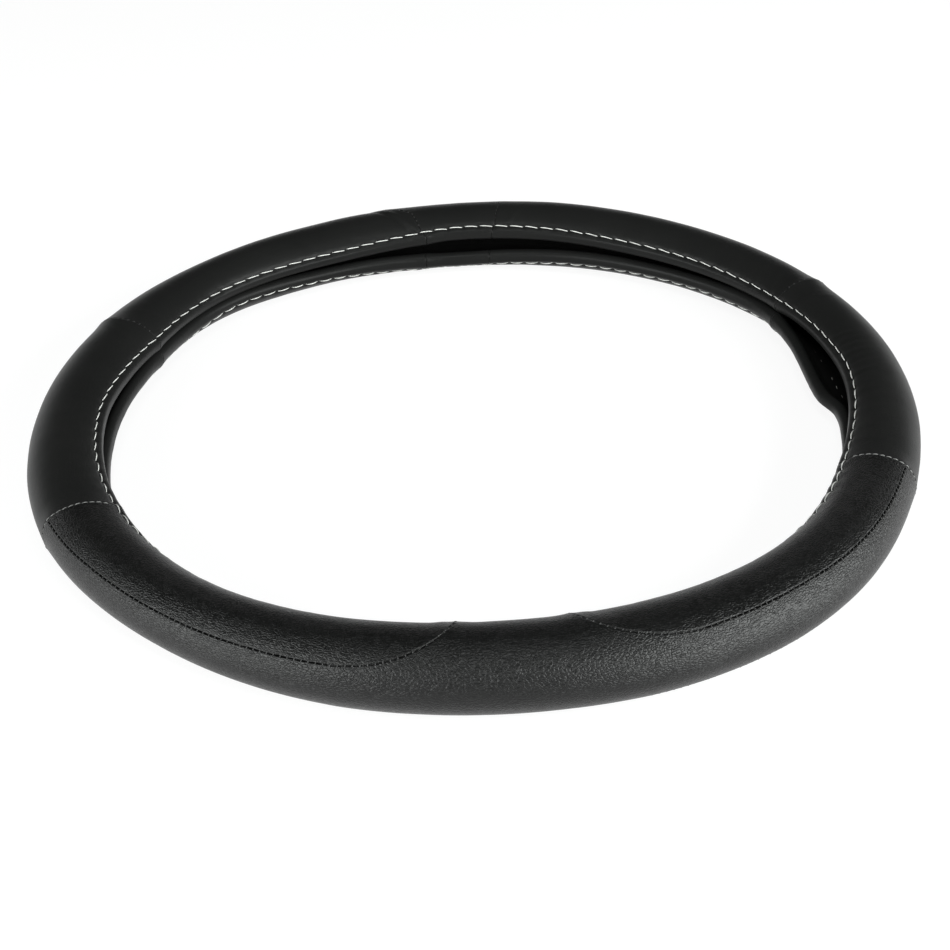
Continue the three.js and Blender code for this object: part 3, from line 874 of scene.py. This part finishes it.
def ramp(tree, source, low, high, start, end):
    """Turns source between low and high into a value between start and end."""
    node = add_node(tree, "ShaderNodeMapRange", {
        "From Min": low, "From Max": high, "To Min": start, "To Max": end})
    tree.links.new(source, node.inputs["Value"])
    return node.outputs["Result"]


def colours(tree, source, stops):
    """The colour at each value of source, between stops of (value, colour)."""
    node = tree.nodes.new("ShaderNodeValToRGB")
    elements = node.color_ramp.elements
    while len(elements) < len(stops):
        elements.new(0.5)
    for element, (position, colour) in zip(elements, stops):
        element.position = position
        element.color = (*colour, 1)
    tree.links.new(source, node.inputs["Fac"])
    return node.outputs["Color"]


def bump(tree, height, strength, distance, normal=None):
    node = add_node(tree, "ShaderNodeBump", {"Strength": strength, "Distance": distance})
    tree.links.new(height, node.inputs["Height"])
    if normal is not None:
        tree.links.new(normal, node.inputs["Normal"])
    return node.outputs["Normal"]


def noise(tree, vector, scale, detail, roughness=0.55):
    node = add_node(tree, "ShaderNodeTexNoise", {
        "Scale": scale, "Detail": detail, "Roughness": roughness})
    tree.links.new(vector, node.inputs["Vector"])
    return node.outputs["Fac"]


def pebbles(tree, vector, scale):
    """How far each place is from the edge of its cell."""
    node = add_node(tree, "ShaderNodeTexVoronoi", {"Scale": scale, "Randomness": PEBBLE_RANDOMNESS},
                    feature="DISTANCE_TO_EDGE")
    tree.links.new(vector, node.inputs["Vector"])
    return node.outputs["Distance"]


def wobbly(tree, vector, scale, amount):
    """The coordinates pushed about by noise, so that cells look grown and not drawn."""
    push = add_node(tree, "ShaderNodeTexNoise", {"Scale": scale, "Detail": WOBBLE_DETAIL})
    tree.links.new(vector, push.inputs["Vector"])
    centred = add_node(tree, "ShaderNodeVectorMath", operation="SUBTRACT")
    tree.links.new(push.outputs["Color"], centred.inputs[0])
    centred.inputs[1].default_value = (0.5, 0.5, 0.5)
    scaled = add_node(tree, "ShaderNodeVectorMath", operation="SCALE")
    tree.links.new(centred.outputs[0], scaled.inputs[0])
    scaled.inputs["Scale"].default_value = amount
    added = add_node(tree, "ShaderNodeVectorMath", operation="ADD")
    tree.links.new(vector, added.inputs[0])
    tree.links.new(scaled.outputs[0], added.inputs[1])
    return added.outputs[0]


def on_sheet(tree, stretch):
    """The place on the flat sheet, where one unit round the ring counts as stretch units over it."""
    lay = tree.nodes.new("ShaderNodeTexCoord").outputs["UV"]
    scaled = add_node(tree, "ShaderNodeVectorMath", operation="MULTIPLY")
    tree.links.new(lay, scaled.inputs[0])
    scaled.inputs[1].default_value = (1 / stretch, 1, 1)
    return scaled.outputs[0]


def grained_leather():
    material, tree, shader = new_material("grained_leather")
    sheet = on_sheet(tree, stretch=1.6)
    spread = wobbly(tree, sheet, scale=480, amount=0.0010)
    cells = pebbles(tree, spread, scale=1080)
    small = pebbles(tree, spread, scale=2500)
    worn = noise(tree, sheet, scale=35, detail=3)
    folds = noise(tree, spread, scale=600, detail=4, roughness=FOLD_ROUGHNESS)
    pores = noise(tree, sheet, scale=2600, detail=2)
    dome = ramp(tree, cells, low=0.0, high=0.22, start=0.0, end=1.0)
    small_dome = ramp(tree, small, low=0.0, high=0.2, start=0.0, end=1.0)
    # Painted shade: the base colour is darker in the creases at the grain cells' edges, where shade
    # falls, and lighter on the cell tops
    tint = colours(tree, dome, [
        (0.0, (0.001, 0.001, 0.001)), (0.4, (0.0028, 0.003, 0.0028)), (1.0, (0.0036, 0.0038, 0.0037))])
    tree.links.new(tint, shader.inputs["Base Color"])
    roughness = ramp(tree, worn, NOISE_LOW, NOISE_HIGH, start=0.32, end=0.39)
    tree.links.new(roughness, shader.inputs["Roughness"])
    shader.inputs["Specular IOR Level"].default_value = 0.33
    relief = bump(tree, dome, strength=0.55, distance=0.0002)
    relief = bump(tree, small_dome, strength=0.16, distance=0.0001, normal=relief)
    relief = bump(tree, folds, strength=0.40, distance=0.0003, normal=relief)
    relief = bump(tree, pores, strength=0.10, distance=0.0001, normal=relief)
    tree.links.new(relief, shader.inputs["Normal"])
    return material


def smooth_leather():
    material, tree, shader = new_material("smooth_leather")
    sheet = on_sheet(tree, stretch=1.3)
    spread = wobbly(tree, sheet, scale=260, amount=0.0012)
    fine = pebbles(tree, spread, scale=1300)
    folds = noise(tree, spread, scale=300, detail=4, roughness=FOLD_ROUGHNESS)
    worn = noise(tree, sheet, scale=28, detail=4)
    pores = noise(tree, sheet, scale=3000, detail=2)
    dome = ramp(tree, fine, low=0.0, high=0.2, start=0.0, end=1.0)
    tint = colours(tree, worn, [
        (NOISE_LOW, (0.0088, 0.009, 0.0088)), (NOISE_HIGH, (0.0108, 0.011, 0.0107))])
    tree.links.new(tint, shader.inputs["Base Color"])
    roughness = ramp(tree, worn, NOISE_LOW, NOISE_HIGH, start=0.34, end=0.40)
    tree.links.new(roughness, shader.inputs["Roughness"])
    shader.inputs["Specular IOR Level"].default_value = 0.10
    relief = bump(tree, dome, strength=0.14, distance=0.00015)
    relief = bump(tree, folds, strength=0.16, distance=0.0003, normal=relief)
    relief = bump(tree, pores, strength=0.12, distance=0.0001, normal=relief)
    tree.links.new(relief, shader.inputs["Normal"])
    return material


def thread_material(name, dark, light, roughness):
    material, tree, shader = new_material(name)
    here = tree.nodes.new("ShaderNodeTexCoord").outputs["Object"]
    strands = noise(tree, here, scale=2400, detail=3)
    tint = colours(tree, strands, [(NOISE_LOW, dark), (NOISE_HIGH, light)])
    tree.links.new(tint, shader.inputs["Base Color"])
    shader.inputs["Roughness"].default_value = roughness
    shader.inputs["Sheen Weight"].default_value = 0.2
    relief = bump(tree, strands, strength=0.4, distance=0.0001)
    tree.links.new(relief, shader.inputs["Normal"])
    return material


def rubber_material():
    material, tree, shader = new_material("liner_rubber")
    here = tree.nodes.new("ShaderNodeTexCoord").outputs["Object"]
    bloom = noise(tree, here, scale=60, detail=4)
    grit = noise(tree, here, scale=1800, detail=3)
    tint = colours(tree, bloom, [
        (NOISE_LOW, (0.002, 0.002, 0.002)), (NOISE_HIGH, (0.0035, 0.0035, 0.0034))])
    tree.links.new(tint, shader.inputs["Base Color"])
    roughness = ramp(tree, bloom, NOISE_LOW, NOISE_HIGH, start=0.68, end=0.82)
    tree.links.new(roughness, shader.inputs["Roughness"])
    shader.inputs["Specular IOR Level"].default_value = 0.12
    relief = bump(tree, grit, strength=0.3, distance=0.0002)
    tree.links.new(relief, shader.inputs["Normal"])
    return material


# The pieces

GRAINED = grained_leather()
SMOOTH = smooth_leather()
WHITE_THREAD = thread_material(
    "edge_thread", dark=(0.58, 0.58, 0.56), light=(0.84, 0.84, 0.81), roughness=0.55)
GREY_THREAD = thread_material(
    "cross_seam_thread", dark=(0.07, 0.07, 0.07), light=(0.18, 0.18, 0.175), roughness=0.4)
BLACK_THREAD = thread_material(
    "lens_seam_thread", dark=(0.005, 0.005, 0.005), light=(0.014, 0.014, 0.014), roughness=0.4)
RUBBER_LOOK = rubber_material()


def hand_in(piece, slot, *nodes):
    """The piece rides on the one body and stands for its solids."""
    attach(piece, "root")
    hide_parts(*nodes)


WRAPS = {
    "rear_centre": (REAR_RIGHT_OF_CENTRE, REAR_LEFT_OF_CENTRE),
    "rear_left": (REAR_LEFT_OF_CENTRE, REAR_LEFT_SEAM),
    "left_side": (REAR_LEFT_SEAM, FRONT_LEFT_SEAM),
    "right_side": (FRONT_RIGHT_SEAM, REAR_RIGHT_SEAM),
    "rear_right": (REAR_RIGHT_SEAM, REAR_RIGHT_OF_CENTRE),
}
for part, (from_seam, to_seam) in WRAPS.items():
    made = skin(part + "_skin", wrap_blocks(from_seam, to_seam), SMOOTH)
    hand_in(made, "smooth_leather", part + "_panel")

LENSES = {
    "front_left_upper": (-1, 1), "front_left_lower": (-1, -1),
    "front_right_upper": (1, 1), "front_right_lower": (1, -1),
}
for part, (hand, level) in LENSES.items():
    made = skin(part + "_skin", lens_blocks(hand, level), GRAINED)
    hand_in(made, "grained_leather", part + "_panel")
hand_in(skin("front_grip_skin", grip_blocks(), GRAINED), "grained_leather", "front_grip_panel")
hand_in(liner("rubber_liner", RUBBER_LOOK), "liner_rubber", "inner_ring")

for part, line, level in (("upper", upper_stitch, 1), ("lower", lower_stitch, -1)):
    made = edge_stitches(part + "_edge_stitches", line, level, WHITE_THREAD)
    hand_in(made, "edge_thread", part + "_edge_thread")

CROSS_SEED = 20
LENS_SEED = 40
for seed, (part, path) in enumerate(CROSS_PATHS.items(), CROSS_SEED):
    thread, kind = (GREY_THREAD, DASH) if part.startswith("front") else (BLACK_THREAD, CROSS_RUNG)
    made = seam_stitches(part + "_seam_stitches", path, thread, seed, kind)
    hand_in(made, "seam_thread", part + "_seam_thread")
for seed, (part, path) in enumerate(LENS_PATHS.items(), LENS_SEED):
    made = seam_stitches(part + "_lens_stitches", path, BLACK_THREAD, seed, LENS_RUNG)
    hand_in(made, "seam_thread", part + "_lens_seam_thread")


# Stage

STAGE_ROUGHNESS = 0.9


def white_stage_material(name, glow, colour):
    """White to the camera and in reflections, and a plain grey surface to the lamps."""
    material, tree, shader = new_material(name)
    shader.inputs["Base Color"].default_value = (colour, colour, colour, 1)
    shader.inputs["Roughness"].default_value = STAGE_ROUGHNESS
    shader.inputs["Specular IOR Level"].default_value = 0.0
    rays = tree.nodes.new("ShaderNodeLightPath")
    seen = rays.outputs["Is Camera Ray"]
    for kind in ("Is Glossy Ray", "Is Transmission Ray"):
        either = add_node(tree, "ShaderNodeMath", operation="MAXIMUM")
        tree.links.new(seen, either.inputs[0])
        tree.links.new(rays.outputs[kind], either.inputs[1])
        seen = either.outputs[0]
    strength = add_node(tree, "ShaderNodeMath", operation="MULTIPLY")
    tree.links.new(seen, strength.inputs[0])
    strength.inputs[1].default_value = glow
    shader.inputs["Emission Color"].default_value = (1, 1, 1, 1)
    tree.links.new(strength.outputs[0], shader.inputs["Emission Strength"])
    return material


def stage_mesh(name, points, faces, material):
    mesh = bpy.data.meshes.new(name)
    mesh.from_pydata(points, [], faces)
    mesh.materials.append(material)
    made = bpy.data.objects.new(name, mesh)
    bpy.context.scene.collection.objects.link(made)


FLOOR_RADIUS = 4.0
FLOOR_GLOW = 0.88
FLOOR_COLOUR = 0.17
WALL_HEIGHT = 0.6
STAGE_SIDES = 96


def build_stage():
    """A wide round floor with a low wall round it."""
    look = white_stage_material("pale_floor", FLOOR_GLOW, FLOOR_COLOUR)
    turn = [2 * math.pi * k / STAGE_SIDES for k in range(STAGE_SIDES)]
    rim = [(FLOOR_RADIUS * math.cos(t), FLOOR_RADIUS * math.sin(t), 0) for t in turn]
    stage_mesh("floor", rim, [list(range(STAGE_SIDES))], look)
    upper = [(x, y, WALL_HEIGHT) for x, y, _ in rim]
    walls = [(k, (k + 1) % STAGE_SIDES, STAGE_SIDES + (k + 1) % STAGE_SIDES, STAGE_SIDES + k)
             for k in range(STAGE_SIDES)]
    stage_mesh("backdrop", rim + upper, walls, look)


PANEL_COLOUR = (0.97, 1.0, 0.985)
WORLD_STRENGTH = 0.08


def lit_panel(name, width, height, radiance, location, rotation):
    """A white panel as bright as its radiance says, whatever its size."""
    data = bpy.data.lights.new(name, "AREA")
    data.shape = "RECTANGLE"
    data.size, data.size_y = width, height
    data.energy = radiance * math.pi * width * height
    data.color = PANEL_COLOUR
    made = bpy.data.objects.new(name, data)
    made.location = location
    made.rotation_euler = rotation
    bpy.context.scene.collection.objects.link(made)


def side_panel(name, azimuth, distance, width, low, high, radiance):
    """An upright panel that faces the ring, from one height to another."""
    turn = math.radians(azimuth)
    location = (distance * math.cos(turn), distance * math.sin(turn), (low + high) / 2)
    rotation = (math.pi / 2, 0, turn + math.pi / 2)
    lit_panel(name, width, high - low, radiance, location, rotation)


def top_panel(name, location, width, depth, radiance):
    """A panel overhead that faces the middle of the ring."""
    rotation = (-Vector(location)).to_track_quat("-Z", "Y").to_euler()
    lit_panel(name, width, depth, radiance, location, rotation)


def build_lights():
    """Panels at both sides and over the front, and a weak even light from all round."""
    side_panel("right_panel", azimuth=328, distance=1.3, width=1.6, low=0.02, high=0.98, radiance=8.6)
    side_panel("left_panel", azimuth=213, distance=1.3, width=1.4, low=0.02, high=0.88, radiance=6.8)
    top_panel("top_panel", location=(0.0, -0.66, 1.5), width=0.8, depth=0.36, radiance=7.0)
    world = bpy.data.worlds.new("studio")
    bpy.context.scene.world = world
    world.use_nodes = True
    background = world.node_tree.nodes["Background"]
    background.inputs["Color"].default_value = (1, 1, 1, 1)
    background.inputs["Strength"].default_value = WORLD_STRENGTH


# The camera stands where the photograph was taken from
CAMERA_ELEVATION = 34.05
CAMERA_ROLL = -2.035
CAMERA_TURN = -2.3
CAMERA_DISTANCE = 751.8
FOCAL_PIXELS = 1736.8
FRAME_PIXELS = 950
SENSOR_WIDTH = 36
PICTURE_MIDDLE = (475.33, 410.0)
RING_MIDDLE_HEIGHT = 15.0
CLIP_START = 0.01
CLIP_END = 50


def build_camera():
    tilt, roll = math.radians(CAMERA_ELEVATION), math.radians(CAMERA_ROLL)
    ahead = np.array([0, math.cos(tilt), -math.sin(tilt)])
    level_right = np.array([1.0, 0, 0])
    level_up = np.cross(level_right, ahead)
    right = math.cos(roll) * level_right + math.sin(roll) * level_up
    up = math.cos(roll) * level_up - math.sin(roll) * level_right
    shift = (np.array(PICTURE_MIDDLE) - FRAME_PIXELS / 2) / FOCAL_PIXELS * CAMERA_DISTANCE
    eye = -(shift[0] * right - shift[1] * up + CAMERA_DISTANCE * ahead)
    turn = Matrix.Rotation(math.radians(CAMERA_TURN), 3, "Z")
    axes = Matrix([right, up, -ahead]).transposed()
    data = bpy.data.cameras.new("camera")
    data.sensor_width = SENSOR_WIDTH
    data.lens = FOCAL_PIXELS * SENSOR_WIDTH / FRAME_PIXELS
    data.clip_start = CLIP_START
    data.clip_end = CLIP_END
    made = bpy.data.objects.new("camera", data)
    made.matrix_world = (turn @ axes).to_4x4()
    made.location = (turn @ Vector(eye) + Vector((0, 0, RING_MIDDLE_HEIGHT))) * MM
    bpy.context.scene.collection.objects.link(made)
    bpy.context.scene.camera = made


build_stage()
build_lights()
build_camera()
bpy.context.scene.view_settings.view_transform = "Standard"

bpy.context.view_layer.update()
